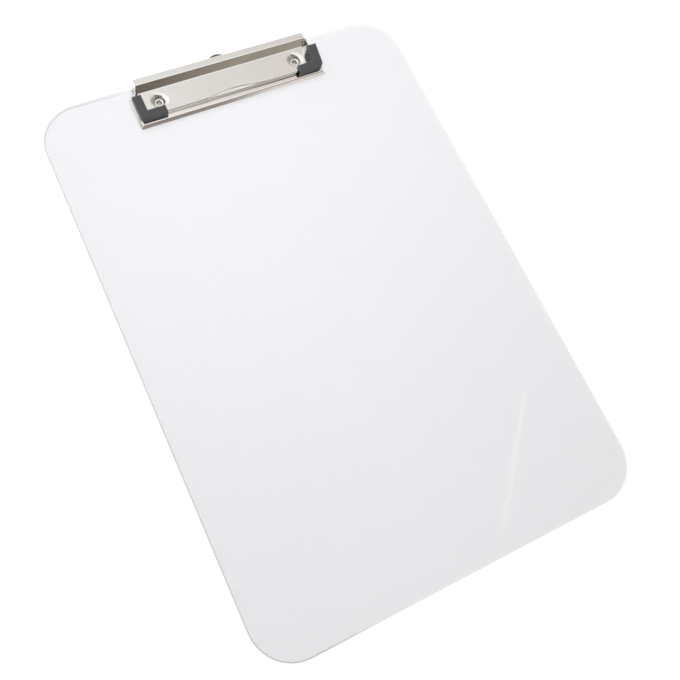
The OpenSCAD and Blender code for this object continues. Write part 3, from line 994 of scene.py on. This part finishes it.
tree = plate_rivet.node_tree
metal = tree.nodes["Principled BSDF"].inputs["Base Color"]
mirrored = node(tree, "ShaderNodeVectorMath", operation="ABSOLUTE")
away = node(tree, "ShaderNodeVectorMath", operation="SUBTRACT")
flat = node(tree, "ShaderNodeVectorMath", operation="MULTIPLY")
span = node(tree, "ShaderNodeVectorMath", operation="LENGTH")
away.inputs[1].default_value = (*middle("rivet_right")[:2], 0)
flat.inputs[1].default_value = (1, 1, 0)
join(tree, (node(tree, "ShaderNodeTexCoord").outputs["Object"], mirrored.inputs[0]),
     (mirrored.outputs[0], away.inputs[0]), (away.outputs[0], flat.inputs[0]),
     (flat.outputs[0], span.inputs[0]))
# Painted shade: the bore is darkened by distance from the rivet's axis.
bore_shade_mask = smooth(tree, span.outputs["Value"], (BORE_R + 0.25) * MM, (BORE_R + 0.02) * MM)
join(tree, (mix(tree, bore_shade_mask, metal.links[0].from_socket, BORE_SHADE), metal))


def roll(inner, outer, base, height, flip=False):
    """Half an ellipse from radius inner to outer, standing height off base."""
    points = []
    for i in range(RIVET_STEPS + 1):
        a = pi * i / RIVET_STEPS
        points.append(((inner + outer) / 2 - (outer - inner) / 2 * cos(a), base + height * sin(a)))
    return points[::-1] if flip else points


for side_name in ("left", "right"):
    low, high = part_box(f"rivet_{side_name}")
    washer_low, washer_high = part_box(f"rivet_washer_{side_name}")
    seat = (high.z - FACE_Z) / MM - HEAD_SEAT
    head = [(r * MM, FACE_Z + h * MM) for r, h in roll(BORE_R, HEAD_R, seat, HEAD_T)]
    tail_h = (washer_low.z - low.z) / MM
    tail = [(r * MM, washer_low.z - h * MM) for r, h in roll(BORE_R, TAIL_R, 0, tail_h, flip=True)]
    shank = [(SHANK_R * MM, FACE_Z + seat * MM), (SHANK_R * MM, washer_low.z)]
    bm = bmesh.new()
    turned(bm, head + shank + tail, middle(f"rivet_{side_name}"))
    piece(f"hollow_rivet_{side_name}", bm, (plate_rivet,), "nickel_rivet", "base", f"rivet_{side_name}",
          sharp=50)

    outer, hole, lip = (washer_high.x - washer_low.x) / 2, WASHER_HOLE_R, WASHER_LIP
    edge = [(outer - lip, washer_low.z), (outer, washer_low.z + lip), (outer, washer_high.z - lip),
            (outer - lip, washer_high.z), (hole + lip, washer_high.z), (hole, washer_high.z - lip),
            (hole, washer_low.z + lip), (hole + lip, washer_low.z)]
    bm = bmesh.new()
    turned(bm, edge, middle(f"rivet_washer_{side_name}"))
    piece(f"back_washer_{side_name}", bm, (washer_steel,), "washer_steel", "base",
          f"rivet_washer_{side_name}", sharp=50)

# %% [markdown]
# The hanging tab is a stamped strip with coined edges, and its stop is a small stud with a low domed head.

# %% Hanging tab and stud
COIN_R = 0.00022
STUD_R = 1.5 * MM
STUD_EDGE = 0.0002
TIP_R = 0.00001

bm = clean_copy("hanging_tab")
soften(bm, COIN_R, 3, angle=35)
piece("sliding_tab", bm, (tab_steel,), "tab_steel", "tab", "hanging_tab", sharp=40)

low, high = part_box("tab_stop_stud")
stud_head_r = (high.x - low.x) / 2
foot = [(STUD_R - STUD_EDGE, low.z), (STUD_R, low.z + STUD_EDGE), (STUD_R, web_top)]
dome = [(stud_head_r * cos(a), web_top + (high.z - web_top) * sin(a))
        for a in (pi / 2 * i / 8 for i in range(8))]
profile = foot + dome + [(TIP_R, high.z)]
bm = bmesh.new()
closed(bm, [ring(bm, circle(middle("tab_stop_stud"), r, z, 40)) for r, z in profile])
piece("domed_stud", bm, (washer_steel,), "washer_steel", "base", "tab_stop_stud", sharp=50)

# %% [markdown]
# The hinge pin is drawn wire with both ends peened over into low domes. It lies along X, so its profile is
# turned round that axis.

# %% Hinge pin
pin_low, pin_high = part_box("hinge_pin")
PIN_R, PEEN_R, PEEN_L = 0.001, (pin_high.z - pin_low.z) / 2, 0.0007
PEEN_TIP_R = 0.00002

dome = [(PEEN_L * sin(a), PEEN_R * cos(a)) for a in (pi / 2 * i / 7 for i in range(7))]
right_end = [(pin_high.x - PEEN_L, PIN_R)] + [(pin_high.x - PEEN_L + x, r) for x, r in dome]
right_end.append((pin_high.x, PEEN_TIP_R))
left_end = [(-x, r) for x, r in reversed(right_end)]
turns = [tau * i / 40 for i in range(40)]
bm = bmesh.new()
closed(bm, [ring(bm, [(x, pin_middle.y + r * cos(a), pin_middle.z + r * sin(a)) for a in turns])
            for x, r in left_end + right_end])
piece("peened_hinge_pin", bm, (pin_steel,), "pin_steel", "base", "hinge_pin", sharp=50)

# %% [markdown]
# Each spring is one wire: a leg that lies on the base plate, six turns round the pin, and a leg that pushes
# up under the lip. Its path is a helix worked out by a rule, with a tube of rings carried along it. When the
# lever opens, the upper leg must go with it while the lower one stays, and the turns share the twist between
# them. Here each spring rides on no body and is baked in place where it stands.

# %% Springs
WIRE_R, COIL_R, PITCH = 0.3, 1.35, 0.624
TURNS, LEAVE = 6, 49
AROUND, SIDES = 28, 12
SPRING_X, LOW_LEG = 24.0, 9.0
WEB_H, LEG_GAP = 2.0, 0.03
TOP_LEG, TOP_LEG_H = 1.5, 6.15


def tube(bm, path, radius, sides):
    """A round wire along a path, with its rings kept level with the X axis."""
    loops = []
    for i, here in enumerate(path):
        way = (path[min(i + 1, len(path) - 1)] - path[max(i - 1, 0)]).normalized()
        sideways = (Vector((1, 0, 0)) - way * way.x).normalized()
        up_way = way.cross(sideways)
        spots = [(cos(tau * k / sides), sin(tau * k / sides)) for k in range(sides)]
        loops.append(ring(bm, [here + radius * (c * sideways + s * up_way) for c, s in spots]))
    closed(bm, loops)


for side_name, s in (("left", -1), ("right", 1)):
    count = round((TURNS + LEAVE / 360) * AROUND)
    path = [at(s * SPRING_X, PIN_DEPTH + LOW_LEG, WEB_H + WIRE_R + LEG_GAP)]
    for i in range(count + 1):
        a = radians(-90) + tau * i / AROUND
        path.append(at(s * (SPRING_X + PITCH * i / AROUND), PIN_DEPTH - COIL_R * cos(a),
                       PIN_H + COIL_R * sin(a)))
    path.append(at(s * (SPRING_X + PITCH * count / AROUND), LIP_DEPTH + TOP_LEG, TOP_LEG_H))
    bm = bmesh.new()
    tube(bm, path, WIRE_R * MM, SIDES)
    spring = piece(f"coiled_spring_{side_name}", bm, (spring_steel,), "spring_steel", None,
                   f"torsion_spring_{side_name}", sharp=60)
    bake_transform(spring)
